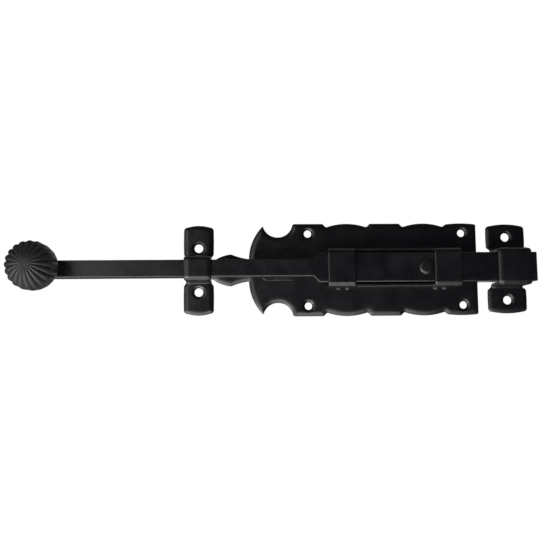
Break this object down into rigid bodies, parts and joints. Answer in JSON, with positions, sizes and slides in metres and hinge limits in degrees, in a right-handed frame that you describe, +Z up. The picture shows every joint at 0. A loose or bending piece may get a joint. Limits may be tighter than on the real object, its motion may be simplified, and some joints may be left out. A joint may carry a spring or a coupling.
{
  "type": "slide bolt",
  "caption": "Surface slide bolt of black coated steel: scalloped backplate with a guide channel, a square bar ending in a flat bolt with a fluted knob, a guide strap and a keeper.",
  "frame": {"origin": "on the backplate's back face, at the middle of its four screw holes", "axes": "+X the way the bolt travels to lock, +Y into the door (the plate's back faces +Y), +Z up the door across the bolt"},
  "size_m": [0.2997, 0.0455, 0.055],
  "materials": {
    "coated_sheet": "satin black powder coat on pressed sheet steel",
    "coated_strip": "satin black powder coat on bent strip steel",
    "coated_bar": "satin black powder coat on drawn steel bar",
    "coated_casting": "matte black powder coat on a cast steel knob",
    "coated_rivet": "satin black powder coat on rivet heads",
    "coated_weld": "black powder coat over small weld beads",
    "black_spring": "blackened spring steel, rubbed brighter along its edges"
  },
  "bodies": {
    "fixed_parts": {"backplate": "coated_sheet", "guide_channel": "coated_sheet", "guide_strap": "coated_strip", "keeper": "coated_strip", "leaf_spring": "black_spring", "spring_rivet": "coated_rivet", "weld_upper_left_outer": "coated_weld", "weld_upper_left_inner": "coated_weld", "weld_lower_left_outer": "coated_weld", "weld_lower_left_inner": "coated_weld", "weld_upper_right_outer": "coated_weld", "weld_upper_right_inner": "coated_weld", "weld_lower_right_outer": "coated_weld", "weld_lower_right_inner": "coated_weld"},
    "sliding_bolt": {"bolt_bar": "coated_bar", "knob": "coated_casting", "knob_collar": "coated_casting", "knob_stud": "coated_rivet", "stop_rivet": "coated_rivet"}
  },
  "joints": [
    {"name": "bolt_slide", "type": "slide", "parent": "fixed_parts", "child": "sliding_bolt", "axis": [-1, 0, 0], "range_m": [0, 0.0363]}
  ]
}
